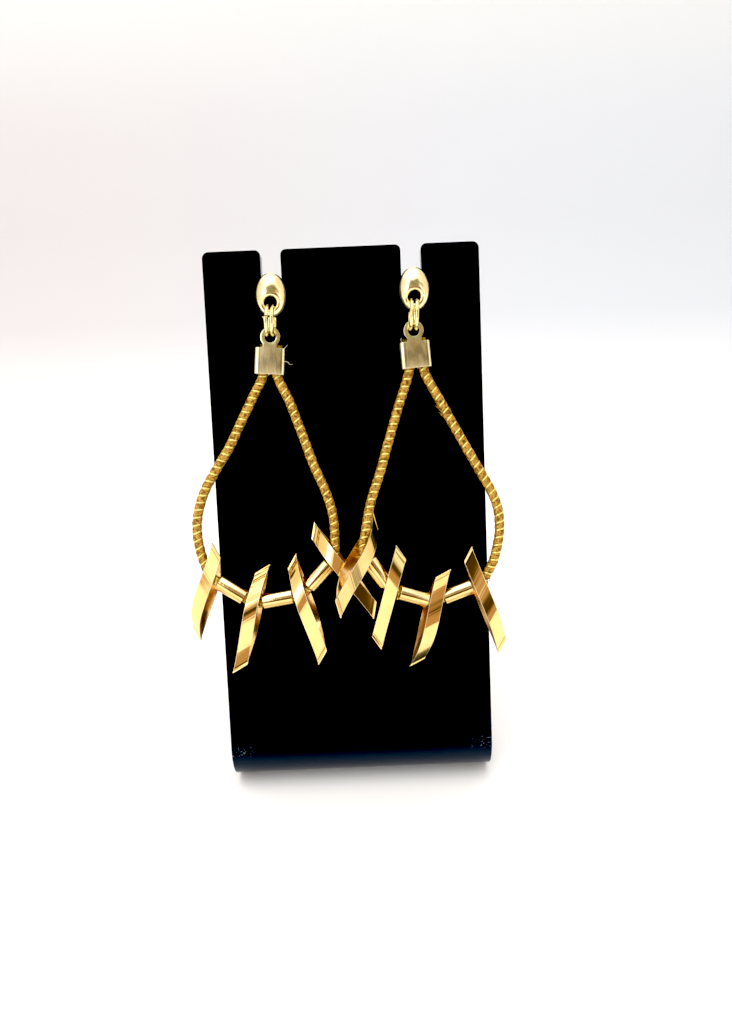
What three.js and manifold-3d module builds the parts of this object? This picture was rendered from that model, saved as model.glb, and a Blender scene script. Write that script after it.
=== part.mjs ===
// A pair of dangle earrings hanging on a small bent display stand.
//
// The stand is one strip of glossy black sheet: a flat base, one bend, and a panel that leans back.
// Two slots in the panel's top edge take the posts of the two earrings. Each earring is an oval stud,
// two jump rings, a folded clamp with an eye, and a loop of stiff cord held in the clamp by both ends.
// Four folded fin beads and three tube beads are strung on the loop.
//
// Millimetres, +Z up. The origin is the middle of the base's flat underside and the front faces -Y.
// Everything on the panel is laid out in the panel's own axes: x to the right, y up along the
// panel's front face from the end of the bend, and z out of the face towards the front.
import * as THREE from 'three';
import { mergeVertices } from 'three/addons/utils/BufferGeometryUtils.js';
import Module from 'manifold-3d';

const wasm = await Module();
wasm.setup();

// Stand
const PANEL_WIDTH = 60;
const PANEL_HEIGHT = 110.9;
const SHEET = 3;
const LEAN = THREE.MathUtils.degToRad(16);
const BEND_RADIUS = 9.2;
const BASE_FLAT = 42;
const CORNER_RADIUS = 1.4;
const SLOT_SPACING = 30.4;
const SLOT_WIDTH = 4.4;
const SLOT_DEPTH = 10.3;
const SLOT_MOUTH_RADIUS = 1.2;

// Stud: a hollow oval cap with a funnel hole near its lower end, and a straight post
const CAP_HALF_WIDTH = 3.4;
const CAP_HALF_HEIGHT = 4.7;
const CAP_RIM = 0.8;
const CAP_DEPTH = 3.3;
const CAP_WALL = 0.9;
const CAP_STANDOFF = 2.2;
const CAP_YAW = THREE.MathUtils.degToRad(7);
const CAP_HOLE_DROP = 1.75;
const CAP_HOLE_SHIFT = -0.3;
const CAP_HOLE_RADIUS = 1.5;
const CAP_FUNNEL_RADIUS = 2.1;
const POST_RADIUS = 0.45;
const POST_RISE = 0.85;
const POST_LENGTH = 11.2;

// Ear back: a flange and a barrel that slide onto the post behind the panel
const CLUTCH_BORE_RADIUS = 0.8;
const CLUTCH_BARREL_RADIUS = 1.7;
const CLUTCH_FLANGE_RADIUS = 3;
const CLUTCH_FLANGE = 0.7;
const CLUTCH_LENGTH = 3.6;
const CLUTCH_FROM_CAP = 6;

// Jump rings
const RING_WIRE_RADIUS = 0.42;
const RING_RADIUS = 3.05;
const RING_SPACING = 1.15;
const RING_OUT = 3.85;

// Clamp
const CLAMP_WIDTH = 6.6;
const CLAMP_HEIGHT = 5.6;
const CLAMP_DEPTH = 3.65;
const CLAMP_SHEET = 0.4;
const CLAMP_SEAM = 0.6;
const CLAMP_CORNER = 0.6;
const CLAMP_BACK = 0.35;
const EYE_RISE = 5.05;
const EYE_RADIUS = 2.15;
const EYE_HOLE_RADIUS = 1.2;
const EYE_NECK = 3;

// Cord and beads
const CORD_RADIUS = 1.1;
const CORD_SIDES = 8;
const CORD_STEPS = 52;
const TUBE_RADIUS = 1.8;
const TUBE_BORE_RADIUS = 1.45;
const TUBE_LENGTH = 6.5;
const FIN_HALF_LENGTH = 8.6;
const FIN_BULGE = 2.4;
const FIN_SWAY = 0.8;
const FIN_SLANT = 0.9;
const FIN_STRIP = 3.7;
const FIN_SHEET = 0.3;
const FIN_STEPS = 12;

// The two earrings, in panel axes. The stud, the clamp and the beads are placed as they hang.
// fins: x, y, z is where the cord passes; turn, tip and roll are degrees about z, y and x;
// grip is how far from the bead's middle the cord passes, negative nearer its other end.
// slides: how far each tube bead has slid from midway between its fins, towards the next one.
const EARRINGS = [
  {
    side: 'left',
    stud: { x: -15.15, y: 100.65 },
    rings: { x: -15.45, y: 95.15, tilt: -4 },
    clamp: { x: -16.1, y: 86.8, turn: -5 },
    down: [
      [-17.2, 90.4, 2.2], [-17.5, 87.2, 2.2], [-17.8, 84.0, 2.2], [-20.4, 79.1, 2.3], [-23.4, 73.5, 2.5],
      [-26.0, 68.6, 2.7], [-29.0, 64.1, 2.8], [-32.1, 58.8, 3.0], [-33.8, 53.2, 3.1],
      [-33.9, 48.6, 3.1], [-32.9, 43.6, 3.0],
    ],
    fins: [
      { x: -31.5, y: 40.4, z: 3.0, turn: 116, tip: -2, roll: 154, grip: 3.0 },
      { x: -22.3, y: 34.2, z: 3.6, turn: 28, tip: 1, roll: -14, grip: 2.5 },
      { x: -11.7, y: 35.7, z: 3.5, turn: 58, tip: -2, roll: -10, grip: 2.6 },
      { x: -4.2, y: 43.4, z: 3.0, turn: 78, tip: 7, roll: -10, grip: 2.4 },
    ],
    slides: [-0.2, 0, 0.3],
    up: [
      [-3.9, 47.0, 3.2], [-4.0, 52.5, 3.1], [-5.2, 57.6, 3.0], [-7.7, 64.0, 2.8],
      [-10.0, 71.0, 2.5], [-12.4, 78.1, 2.3], [-14.8, 83.9, 2.2], [-14.7, 87.0, 2.2], [-14.4, 90.2, 2.2],
    ],
  },
  {
    side: 'right',
    stud: { x: 15.4, y: 100.65 },
    rings: { x: 15.1, y: 95.15, tilt: -4 },
    clamp: { x: 15.3, y: 86.9, turn: 3.5 },
    down: [
      [13.7, 90.3, 2.2], [13.9, 87.0, 2.2], [13.9, 84.0, 2.2], [11.1, 75.6, 2.6], [8.8, 68.7, 3.1],
      [6.6, 61.8, 3.8], [4.4, 55.7, 4.7], [3.0, 49.6, 5.5],
    ],
    fins: [
      { x: 2.4, y: 45.1, z: 6.2, turn: -76, tip: -3, roll: 138, grip: -2.2 },
      { x: 8.0, y: 36.3, z: 5.3, turn: -58, tip: 5, roll: -167, grip: -1.8 },
      { x: 17.4, y: 33.0, z: 3.8, turn: -153, tip: 2, roll: -17, grip: -3.0 },
      { x: 27.4, y: 36.5, z: 3.2, turn: -119, tip: -1, roll: -6, grip: -3.0 },
    ],
    slides: [0.2, 0.15, 0.3],
    up: [
      [30.4, 40.4, 3.1], [31.7, 44.2, 3.1], [32.4, 48.6, 3.1], [32.1, 53.1, 3.1],
      [30.6, 57.3, 3.0], [28.2, 61.8, 2.9], [24.7, 68.4, 2.7], [20.4, 76.7, 2.4],
      [16.9, 84.0, 2.2], [16.7, 87.2, 2.2], [16.5, 90.5, 2.2],
    ],
  },
];

function finish(color, roughness, metalness) {
  return new THREE.MeshStandardMaterial({ color, roughness, metalness });
}

const BLACK_SHEET = finish('#050507', 0.05, 0);
const CHAMPAGNE = finish('#e6d9a2', 0.18, 1);
const SATIN_GOLD = finish('#b9ad74', 0.35, 1);
const YELLOW_GOLD = finish('#f0c060', 0.08, 1);
const GRASS = finish('#a07a33', 0.55, 0.2);

function toSolid(geometry, matrix = new THREE.Matrix4()) {
  const bare = geometry.clone();
  bare.applyMatrix4(matrix);
  bare.deleteAttribute('normal');
  bare.deleteAttribute('uv');
  const merged = mergeVertices(bare, 1e-5);
  return new wasm.Manifold(new wasm.Mesh({
    numProp: 3,
    vertProperties: new Float32Array(merged.attributes.position.array),
    triVerts: new Uint32Array(merged.index.array),
  }));
}

function toGeometry(solid) {
  const mesh = solid.getMesh();
  const geometry = new THREE.BufferGeometry();
  geometry.setAttribute('position', new THREE.BufferAttribute(mesh.vertProperties, 3));
  geometry.setIndex(new THREE.BufferAttribute(mesh.triVerts, 1));
  geometry.computeVertexNormals();
  return geometry;
}

function extrude(shape, depth, curveSegments = 6) {
  return new THREE.ExtrudeGeometry(shape, { depth, bevelEnabled: false, curveSegments });
}

function add(parent, name, geometry, material) {
  const mesh = new THREE.Mesh(geometry, material);
  mesh.name = name;
  parent.add(mesh);
  return mesh;
}

// A turned ring or cap, its axis along z.
function turned(profile, segments) {
  const points = profile.map(([radius, height]) => new THREE.Vector2(radius, height));
  return new THREE.LatheGeometry(points, segments).rotateX(Math.PI / 2);
}

// The panel's frame: its origin is where the bend ends, on the front face.
const panelMatrix = new THREE.Matrix4().makeRotationX(Math.PI / 2 - LEAN);
panelMatrix.setPosition(
  0,
  -BASE_FLAT / 2 - BEND_RADIUS * Math.cos(LEAN),
  BEND_RADIUS * (1 + Math.sin(LEAN)),
);

// The sheet's side profile, drawn as (y, z): base, bend and leaning panel.
function standProfile() {
  const bendAt = -BASE_FLAT / 2;
  const top = new THREE.Vector3(0, PANEL_HEIGHT, 0).applyMatrix4(panelMatrix);
  const topBack = new THREE.Vector3(0, PANEL_HEIGHT, -SHEET).applyMatrix4(panelMatrix);
  const shape = new THREE.Shape();
  shape.moveTo(BASE_FLAT / 2, 0);
  shape.lineTo(BASE_FLAT / 2, SHEET);
  shape.lineTo(bendAt, SHEET);
  shape.absarc(bendAt, BEND_RADIUS, BEND_RADIUS - SHEET, -Math.PI / 2, -Math.PI - LEAN, true);
  shape.lineTo(topBack.y, topBack.z);
  shape.lineTo(top.y, top.z);
  shape.absarc(bendAt, BEND_RADIUS, BEND_RADIUS, Math.PI - LEAN, Math.PI * 1.5, false);
  return shape;
}

// A slot with a round bottom and rounded mouth corners, reaching past the panel's top edge.
function slotShape(x) {
  const half = SLOT_WIDTH / 2;
  const mouth = SLOT_MOUTH_RADIUS;
  const bottom = PANEL_HEIGHT - SLOT_DEPTH + half;
  const shape = new THREE.Shape();
  shape.moveTo(x - half - mouth, PANEL_HEIGHT + 2);
  shape.lineTo(x - half - mouth, PANEL_HEIGHT);
  shape.absarc(x - half - mouth, PANEL_HEIGHT - mouth, mouth, Math.PI / 2, 0, true);
  shape.absarc(x, bottom, half, Math.PI, Math.PI * 2, false);
  shape.absarc(x + half + mouth, PANEL_HEIGHT - mouth, mouth, Math.PI, Math.PI / 2, true);
  shape.lineTo(x + half + mouth, PANEL_HEIGHT + 2);
  return shape;
}

// What rounding one top corner takes away; side is -1 on the left and 1 on the right.
function cornerShape(side) {
  const x = side * (PANEL_WIDTH / 2 - CORNER_RADIUS);
  const y = PANEL_HEIGHT - CORNER_RADIUS;
  const end = side > 0 ? 0 : Math.PI;
  const shape = new THREE.Shape();
  shape.moveTo(x, PANEL_HEIGHT + 2);
  shape.lineTo(x, PANEL_HEIGHT);
  shape.absarc(x, y, CORNER_RADIUS, Math.PI / 2, end, side > 0);
  shape.lineTo(side * (PANEL_WIDTH / 2 + 2), y);
  shape.lineTo(side * (PANEL_WIDTH / 2 + 2), PANEL_HEIGHT + 2);
  return shape;
}

function buildStand() {
  const along = new THREE.Matrix4().makeBasis(
    new THREE.Vector3(0, 1, 0), new THREE.Vector3(0, 0, 1), new THREE.Vector3(1, 0, 0),
  ).setPosition(-PANEL_WIDTH / 2, 0, 0);
  let stand = toSolid(extrude(standProfile(), PANEL_WIDTH, 8), along);
  const cuts = [
    slotShape(-SLOT_SPACING / 2),
    slotShape(SLOT_SPACING / 2),
    cornerShape(-1),
    cornerShape(1),
  ];
  const through = new THREE.Matrix4().makeTranslation(0, 0, -2 * SHEET).premultiply(panelMatrix);
  for (const shape of cuts) {
    stand = stand.subtract(toSolid(extrude(shape, 3 * SHEET), through));
  }
  return toGeometry(stand);
}

// The stud: its own z = 0 is the cap's back rim, and the post runs back along -z.
function buildStud() {
  const steps = 8;
  const profile = [[CAP_HALF_HEIGHT, 0]];
  for (let i = 0; i <= steps; i += 1) {
    const angle = (i / steps) * Math.PI / 2;
    profile.push([
      CAP_HALF_HEIGHT * Math.cos(angle),
      CAP_RIM + (CAP_DEPTH - CAP_RIM) * Math.sin(angle),
    ]);
  }
  profile[profile.length - 1][0] = 0;
  for (let i = steps; i >= 0; i -= 1) {
    const angle = (i / steps) * Math.PI / 2;
    profile.push([
      i === steps ? 0 : (CAP_HALF_HEIGHT - CAP_WALL) * Math.cos(angle),
      (CAP_DEPTH - CAP_WALL) * Math.sin(angle),
    ]);
  }
  profile.push([CAP_HALF_HEIGHT, 0]);
  const narrow = new THREE.Matrix4().makeScale(CAP_HALF_WIDTH / CAP_HALF_HEIGHT, 1, 1);
  const cap = toSolid(turned(profile, 32), narrow);
  const hole = turned([
    [0, -1],
    [CAP_HOLE_RADIUS, -1],
    [CAP_HOLE_RADIUS, CAP_DEPTH - 1.6],
    [CAP_FUNNEL_RADIUS, CAP_DEPTH - 0.1],
    [CAP_FUNNEL_RADIUS, CAP_DEPTH + 1],
    [0, CAP_DEPTH + 1],
  ], 24);
  const holeAt = new THREE.Matrix4().makeTranslation(CAP_HOLE_SHIFT, -CAP_HOLE_DROP, 0);
  const postTop = CAP_DEPTH - CAP_WALL / 2;
  const post = turned([
    [0, -POST_LENGTH],
    [POST_RADIUS, -POST_LENGTH + 0.3],
    [POST_RADIUS, postTop],
    [0, postTop],
  ], 12);
  const postAt = new THREE.Matrix4().makeTranslation(0, POST_RISE, 0);
  return toGeometry(cap.subtract(toSolid(hole, holeAt)).add(toSolid(post, postAt)));
}

function buildClutch() {
  const front = -CLUTCH_FROM_CAP;
  const back = front - CLUTCH_LENGTH;
  return turned([
    [CLUTCH_BORE_RADIUS, back],
    [CLUTCH_BARREL_RADIUS, back],
    [CLUTCH_BARREL_RADIUS, front - CLUTCH_FLANGE],
    [CLUTCH_FLANGE_RADIUS, front - CLUTCH_FLANGE],
    [CLUTCH_FLANGE_RADIUS, front],
    [CLUTCH_BORE_RADIUS, front],
    [CLUTCH_BORE_RADIUS, back],
  ], 24).translate(0, POST_RISE, 0);
}

// The clamp: a sheet folded round both strands with its seam at the back, and a flat eye on top.
function buildClamp() {
  const half = CLAMP_WIDTH / 2;
  const round = CLAMP_CORNER;
  const wrap = new THREE.Shape();
  wrap.moveTo(CLAMP_SEAM / 2, 0);
  wrap.absarc(half - round, round, round, -Math.PI / 2, 0, false);
  wrap.absarc(half - round, CLAMP_DEPTH - round, round, 0, Math.PI / 2, false);
  wrap.absarc(-half + round, CLAMP_DEPTH - round, round, Math.PI / 2, Math.PI, false);
  wrap.absarc(-half + round, round, round, Math.PI, Math.PI * 1.5, false);
  wrap.lineTo(-CLAMP_SEAM / 2, 0);
  wrap.lineTo(-CLAMP_SEAM / 2, CLAMP_SHEET);
  wrap.lineTo(-half + CLAMP_SHEET, CLAMP_SHEET);
  wrap.lineTo(-half + CLAMP_SHEET, CLAMP_DEPTH - CLAMP_SHEET);
  wrap.lineTo(half - CLAMP_SHEET, CLAMP_DEPTH - CLAMP_SHEET);
  wrap.lineTo(half - CLAMP_SHEET, CLAMP_SHEET);
  wrap.lineTo(CLAMP_SEAM / 2, CLAMP_SHEET);
  const stand = new THREE.Matrix4().makeBasis(
    new THREE.Vector3(1, 0, 0), new THREE.Vector3(0, 0, 1), new THREE.Vector3(0, -1, 0),
  ).setPosition(0, CLAMP_HEIGHT / 2, 0);
  const body = toSolid(extrude(wrap, CLAMP_HEIGHT, 3), stand);

  const lip = Math.asin(EYE_NECK / 2 / EYE_RADIUS);
  const eye = new THREE.Shape();
  eye.moveTo(-EYE_NECK / 2, 1);
  eye.lineTo(EYE_NECK / 2, 1);
  eye.absarc(0, EYE_RISE, EYE_RADIUS, lip - Math.PI / 2, Math.PI * 1.5 - lip, false);
  const hole = new THREE.Path();
  hole.absarc(0, EYE_RISE, EYE_HOLE_RADIUS, 0, Math.PI * 2, true);
  eye.holes.push(hole);
  const front = new THREE.Matrix4().makeTranslation(0, 0, CLAMP_DEPTH - CLAMP_SHEET);
  return toGeometry(body.add(toSolid(extrude(eye, CLAMP_SHEET, 12), front)));
}

function buildCord(route) {
  const circle = new THREE.Shape();
  for (let i = 0; i < CORD_SIDES; i += 1) {
    const angle = (i / CORD_SIDES) * Math.PI * 2;
    const move = i === 0 ? 'moveTo' : 'lineTo';
    circle[move](CORD_RADIUS * Math.cos(angle), CORD_RADIUS * Math.sin(angle));
  }
  const extrudePath = new THREE.CatmullRomCurve3(route, false, 'centripetal');
  return new THREE.ExtrudeGeometry(circle, { steps: CORD_STEPS, extrudePath });
}

function buildTube() {
  const half = TUBE_LENGTH / 2;
  return turned([
    [TUBE_BORE_RADIUS, -half],
    [TUBE_RADIUS, -half],
    [TUBE_RADIUS, half],
    [TUBE_BORE_RADIUS, half],
    [TUBE_BORE_RADIUS, -half],
  ], 20);
}

// The two blades of a fin, across its opening at x along its length: a lens that sways.
function finSway(x) {
  return FIN_SWAY * Math.sin((Math.PI * x) / FIN_HALF_LENGTH);
}

function finHalfGap(x) {
  return FIN_BULGE * Math.cos((Math.PI * x) / (2 * FIN_HALF_LENGTH));
}

// One fin: a closed strip folded flat at both ends, drawn as (length, opening), drawn out along
// the hole and slanted. In the result x runs along the hole, y is the length, z the opening.
function buildFin(grip) {
  const outer = [];
  const inner = [];
  const innerEnd = FIN_HALF_LENGTH
    * (2 / Math.PI) * Math.acos(FIN_SHEET / 2 / FIN_BULGE);
  for (const side of [1, -1]) {
    for (let i = 0; i < FIN_STEPS; i += 1) {
      const along = side * Math.cos((i / FIN_STEPS) * Math.PI);
      const x = FIN_HALF_LENGTH * along;
      const nose = (FIN_SHEET / 2) * Math.sqrt(Math.max(0, 1 - along ** 8));
      outer.push(new THREE.Vector2(x, finSway(x) + side * (finHalfGap(x) + nose)));
      const xi = innerEnd * along;
      inner.push(new THREE.Vector2(xi, finSway(xi) + side * (finHalfGap(xi) - FIN_SHEET / 2)));
    }
  }
  const strip = new THREE.Shape(outer);
  strip.holes.push(new THREE.Path(inner));
  const slant = new THREE.Matrix4().set(
    FIN_SLANT, 0, 1, -FIN_SLANT * grip - FIN_STRIP / 2,
    1, 0, 0, -grip,
    0, 1, 0, -finSway(grip),
    0, 0, 0, 1,
  );
  return extrude(strip, FIN_STRIP).applyMatrix4(slant);
}

function placeFin(fin, row) {
  fin.position.set(row.x, row.y, row.z);
  fin.rotation.set(
    THREE.MathUtils.degToRad(row.roll),
    THREE.MathUtils.degToRad(row.tip),
    THREE.MathUtils.degToRad(row.turn),
    'ZYX',
  );
}

function buildEarring(plan) {
  const earring = new THREE.Group();

  const stud = new THREE.Group();
  stud.position.set(plan.stud.x, plan.stud.y, CAP_STANDOFF);
  stud.rotation.y = CAP_YAW;
  add(stud, `${plan.side}_ear_stud`, buildStud(), CHAMPAGNE);
  add(stud, `${plan.side}_ear_back`, buildClutch(), CHAMPAGNE);
  earring.add(stud);

  const rings = new THREE.Group();
  rings.position.set(plan.rings.x, plan.rings.y, RING_OUT);
  rings.rotation.z = THREE.MathUtils.degToRad(plan.rings.tilt);
  for (const [i, sign] of [[1, -1], [2, 1]]) {
    const torus = new THREE.TorusGeometry(RING_RADIUS, RING_WIRE_RADIUS, 8, 28);
    const ring = add(rings, `${plan.side}_jump_ring_${i}`, torus.rotateY(Math.PI / 2), CHAMPAGNE);
    ring.position.x = sign * RING_SPACING / 2;
  }
  earring.add(rings);

  const clamp = add(earring, `${plan.side}_cord_clamp`, buildClamp(), SATIN_GOLD);
  clamp.position.set(plan.clamp.x, plan.clamp.y, CLAMP_BACK);
  clamp.rotation.z = THREE.MathUtils.degToRad(plan.clamp.turn);

  const threads = plan.fins.map((row) => new THREE.Vector3(row.x, row.y, row.z));
  const route = plan.down.map((point) => new THREE.Vector3(...point));
  plan.fins.forEach((row, i) => {
    const fin = add(earring, `${plan.side}_fin_bead_${i + 1}`, buildFin(row.grip), YELLOW_GOLD);
    placeFin(fin, row);
    route.push(threads[i]);
    if (i === 0) {
      return;
    }
    const before = threads[i - 1];
    const direction = threads[i].clone().sub(before).normalize();
    const middle = before.clone().lerp(threads[i], 0.5).addScaledVector(direction, plan.slides[i - 1]);
    const tube = add(earring, `${plan.side}_tube_bead_${i}`, buildTube(), YELLOW_GOLD);
    tube.position.copy(middle);
    tube.quaternion.setFromUnitVectors(new THREE.Vector3(0, 0, 1), direction);
    route.splice(route.length - 1, 0, before.clone().lerp(threads[i], 0.3));
    route.splice(route.length - 1, 0, before.clone().lerp(threads[i], 0.7));
  });
  route.push(...plan.up.map((point) => new THREE.Vector3(...point)));
  add(earring, `${plan.side}_cord_loop`, buildCord(route), GRASS);
  return earring;
}

const part = new THREE.Group();
add(part, 'display_stand', buildStand(), BLACK_SHEET);

const panel = new THREE.Group();
panel.applyMatrix4(panelMatrix);
for (const plan of EARRINGS) {
  panel.add(buildEarring(plan));
}
part.add(panel);

export default part;
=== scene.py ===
from bisect import bisect_right
from math import atan2, cos, exp, floor, pi, radians, sin, sqrt

import bmesh
import bpy
from mathutils import Matrix, Vector, noise


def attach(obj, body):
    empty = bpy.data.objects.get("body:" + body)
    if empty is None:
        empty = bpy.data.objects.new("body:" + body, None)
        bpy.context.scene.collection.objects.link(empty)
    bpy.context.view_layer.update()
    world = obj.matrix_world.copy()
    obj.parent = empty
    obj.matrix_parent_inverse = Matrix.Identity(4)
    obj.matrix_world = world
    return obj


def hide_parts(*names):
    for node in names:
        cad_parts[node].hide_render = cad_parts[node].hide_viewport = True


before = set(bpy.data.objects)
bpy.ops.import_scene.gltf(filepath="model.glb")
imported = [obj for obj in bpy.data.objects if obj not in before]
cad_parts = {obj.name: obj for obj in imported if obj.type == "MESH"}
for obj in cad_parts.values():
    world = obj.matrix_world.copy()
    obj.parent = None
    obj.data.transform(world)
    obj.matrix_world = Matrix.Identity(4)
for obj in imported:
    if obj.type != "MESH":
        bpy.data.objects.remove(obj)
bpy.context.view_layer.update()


# Camera. It stands a little to the right of the stand and looks down on the leaning panel,
# close enough that the panel narrows towards the floor.
CAMERA_AT = (0.00322, -0.17526, 0.1258)
CAMERA_TILT = radians(68.5)
CAMERA_ROLL = radians(-2.39)
SENSOR_WIDTH = 36
LENS = 27.07
NEAREST = 0.005

camera = bpy.data.objects.new("camera", bpy.data.cameras.new("camera"))
camera.data.sensor_width = SENSOR_WIDTH
camera.data.lens = LENS
camera.data.clip_start = NEAREST
camera.matrix_world = (
    Matrix.Translation(CAMERA_AT) @ Matrix.Rotation(CAMERA_TILT, 4, "X")
    @ Matrix.Rotation(CAMERA_ROLL, 4, "Z")
)
bpy.context.scene.collection.objects.link(camera)
bpy.context.scene.camera = camera


# Display stand. One strip of black acrylic, 3 mm thick, warmed and bent once into a flat base and a
# panel that leans back. The outline and the two slots for the posts are laser cut, so their edges are
# glossy with a very small round.
SHEET = 0.003
PANEL_WIDTH = 0.060
PANEL_HEIGHT = 0.1109
LEAN = radians(16)
BEND_RADIUS = 0.0092
BEND_STEPS = 26
BASE_FLAT = 0.042
CORNER_RADIUS = 0.0014
SLOT_SPACING = 0.0304
SLOT_WIDTH = 0.0044
SLOT_DEPTH = 0.00995
SLOT_MOUTH_RADIUS = 0.0012
EDGE_ROUND = 0.00022
ACRYLIC_BLACK = (0.0004, 0.0004, 0.0008, 1)
ACRYLIC_SHEEN = (0.22, 0.42, 0.68, 1)
BEND_PAINTED_REFLECTION = (0.006, 0.011, 0.022, 1)
SCUFF_GREY = (0.20, 0.21, 0.24, 1)
# Where the scuffs and the painted navy reflection low on the bend fade in: out from the middle, up, and
# towards the front.
SCUFF_OUT = (0.0235, 0.0285)
SCUFF_HEIGHT = 0.0105
SCUFF_SPREAD = (0.0002, 0.0022)
SCUFF_FRONT = (-0.030, -0.026)
REFLECTION_HEIGHT = (0.0078, 0.0102)
REFLECTION_FRONT = (-0.028, -0.020)

# The panel's own axes: x to the right, y up its front face from the end of the bend, z out of it.
panel_foot = (0, -BASE_FLAT / 2 - BEND_RADIUS * cos(LEAN), BEND_RADIUS * (1 + sin(LEAN)))
panel = Matrix.Translation(panel_foot) @ Matrix.Rotation(pi / 2 - LEAN, 4, "X")


def on_panel(x, y, z, turn=0, tip=0, roll=0):
    """A place in the panel's axes, turned about its z, then y, then x."""
    return (
        panel @ Matrix.Translation((x, y, z)) @ Matrix.Rotation(turn, 4, "Z")
        @ Matrix.Rotation(tip, 4, "Y") @ Matrix.Rotation(roll, 4, "X")
    )


class Wire:
    """A shader socket that can be reckoned with: each operator adds its own Math node."""

    def __init__(self, finish, socket):
        self.finish = finish
        self.socket = socket

    def math(self, operation, first, second=0.0):
        return self.finish.node("ShaderNodeMath", {"operation": operation}, {0: first, 1: second})

    def __add__(self, other):
        return self.math("ADD", self, other)

    __radd__ = __add__

    def __sub__(self, other):
        return self.math("SUBTRACT", self, other)

    def __rsub__(self, other):
        return self.math("SUBTRACT", other, self)

    def __mul__(self, other):
        return self.math("MULTIPLY", self, other)

    __rmul__ = __mul__

    def __abs__(self):
        return self.math("ABSOLUTE", self)

    def largest(self, other):
        return self.math("MAXIMUM", self, other)

    def step(self, low, high):
        """0 below low, 1 above high, and smooth between."""
        return self.finish.node(
            "ShaderNodeMapRange", {"interpolation_type": "SMOOTHSTEP"}, {0: self, 1: low, 2: high}
        )

    def between(self, low, full, full_until, high):
        """0 outside low and high, 1 from full to full_until, and smooth on both flanks."""
        return self.step(low, full) * (1 - self.step(full_until, high))


class Finish:
    """One material, or the surroundings: a shader with its fixed values, and the nodes that vary."""

    def __init__(self, name, kept_in=bpy.data.materials, shader="Principled BSDF", **fixed):
        self.material = kept_in.new(name)
        self.material.use_nodes = True
        self.tree = self.material.node_tree
        self.shader = self.tree.nodes[shader]
        for socket, value in fixed.items():
            self.shader.inputs[socket.replace("_", " ")].default_value = value

    def node(self, kind, settings, inputs, output=0):
        made = self.tree.nodes.new(kind)
        for key, value in settings.items():
            setattr(made, key, value)
        for key, value in inputs.items():
            if isinstance(value, Wire):
                self.tree.links.new(value.socket, made.inputs[key])
            else:
                made.inputs[key].default_value = value
        return Wire(self, made.outputs[output])

    def place(self, output="Object"):
        return self.node("ShaderNodeTexCoord", {}, {}, output)

    def attribute(self, name):
        return self.node("ShaderNodeAttribute", {"attribute_name": name}, {}, "Fac")

    def axes(self, vector):
        split = self.node("ShaderNodeSeparateXYZ", {}, {0: vector})
        return [Wire(self, socket) for socket in split.socket.node.outputs]

    def stretched(self, vector, scale, turn=(0, 0, 0)):
        return self.node("ShaderNodeMapping", {}, {"Vector": vector, "Rotation": turn, "Scale": scale})

    def noise(self, vector, scale, detail=2.0, roughness=0.5):
        inputs = {"Vector": vector, "Scale": scale, "Detail": detail, "Roughness": roughness}
        return self.node("ShaderNodeTexNoise", {}, inputs)

    def mix(self, mask, first, second):
        return self.node(
            "ShaderNodeMix", {"data_type": "RGBA"}, {"Factor": mask, 6: first, 7: second}, 2
        )

    def streaks(self, along, scale=1.0):
        return self.node("ShaderNodeTexNoise", {"noise_dimensions": "1D"}, {"W": along, "Scale": scale})

    def bump(self, height, strength, distance):
        return self.node(
            "ShaderNodeBump", {}, {"Height": height, "Strength": strength, "Distance": distance}
        )

    def feed(self, **sockets):
        for socket, value in sockets.items():
            self.tree.links.new(value.socket, self.shader.inputs[socket.replace("_", " ")])
        return self.material


def black_acrylic():
    """Glossy black with handling haze, a little dust, pale scuffs where the bend meets each side, and a
    painted navy reflection low on the bend.
    """
    finish = Finish(
        "black_acrylic", Metallic=0.0, IOR=1.49, Specular_IOR_Level=0.24, Specular_Tint=ACRYLIC_SHEEN
    )
    at = finish.place()
    x, y, z = finish.axes(at)
    haze = finish.noise(at, 60, 3.0, 0.6)
    scratches = finish.noise(finish.stretched(at, (420, 90, 60), (0, 0, 0.5)), 1.0, 3.0, 0.7)
    dust = finish.noise(at, 1500, 1.0).step(0.80, 0.86)
    at_bend = (1 - abs(z - SCUFF_HEIGHT).step(*SCUFF_SPREAD)) * (1 - y.step(*SCUFF_FRONT))
    scuffed = finish.noise(at, 2100, 2.0, 0.7).step(0.60, 0.67) * abs(x).step(*SCUFF_OUT) * at_bend
    pale = scuffed.largest(dust * 0.12)
    # A painted reflection: the lower bend is coloured navy, as if it mirrored the floor.
    under = (1 - z.step(*REFLECTION_HEIGHT)) * (1 - y.step(*REFLECTION_FRONT))
    colour = finish.mix(pale, finish.mix(under, ACRYLIC_BLACK, BEND_PAINTED_REFLECTION), SCUFF_GREY)
    bump = finish.bump(scratches * 0.3 + haze + scuffed * 4, 0.05, 0.0002)
    return finish.feed(Base_Color=colour, Roughness=0.035 + haze * 0.05 + scuffed * 0.4, Normal=bump)


def add_piece(name, bm, material, node, crease=radians(35)):
    """Turns a finished bmesh into a piece that stands for a CAD node and rides with the object."""
    mesh = bpy.data.meshes.new(name)
    bm.to_mesh(mesh)
    bm.free()
    mesh.polygons.foreach_set("use_smooth", [True] * len(mesh.polygons))
    mesh.set_sharp_from_angle(angle=crease)
    mesh.materials.append(material)
    piece = bpy.data.objects.new(name, mesh)
    bpy.context.scene.collection.objects.link(piece)
    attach(piece, "root")
    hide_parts(node)
    return piece


def round_edges(bm, geom, offset, segments=3, affect="EDGES"):
    return bmesh.ops.bevel(
        bm, geom=geom, offset=offset, offset_type="OFFSET", segments=segments, profile=0.5,
        affect=affect, clamp_overlap=affect == "EDGES", material=-1,
    )


def sharp_edges(bm, angle):
    return [e for e in bm.edges if len(e.link_faces) == 2 and e.calc_face_angle(0) > angle]


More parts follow.
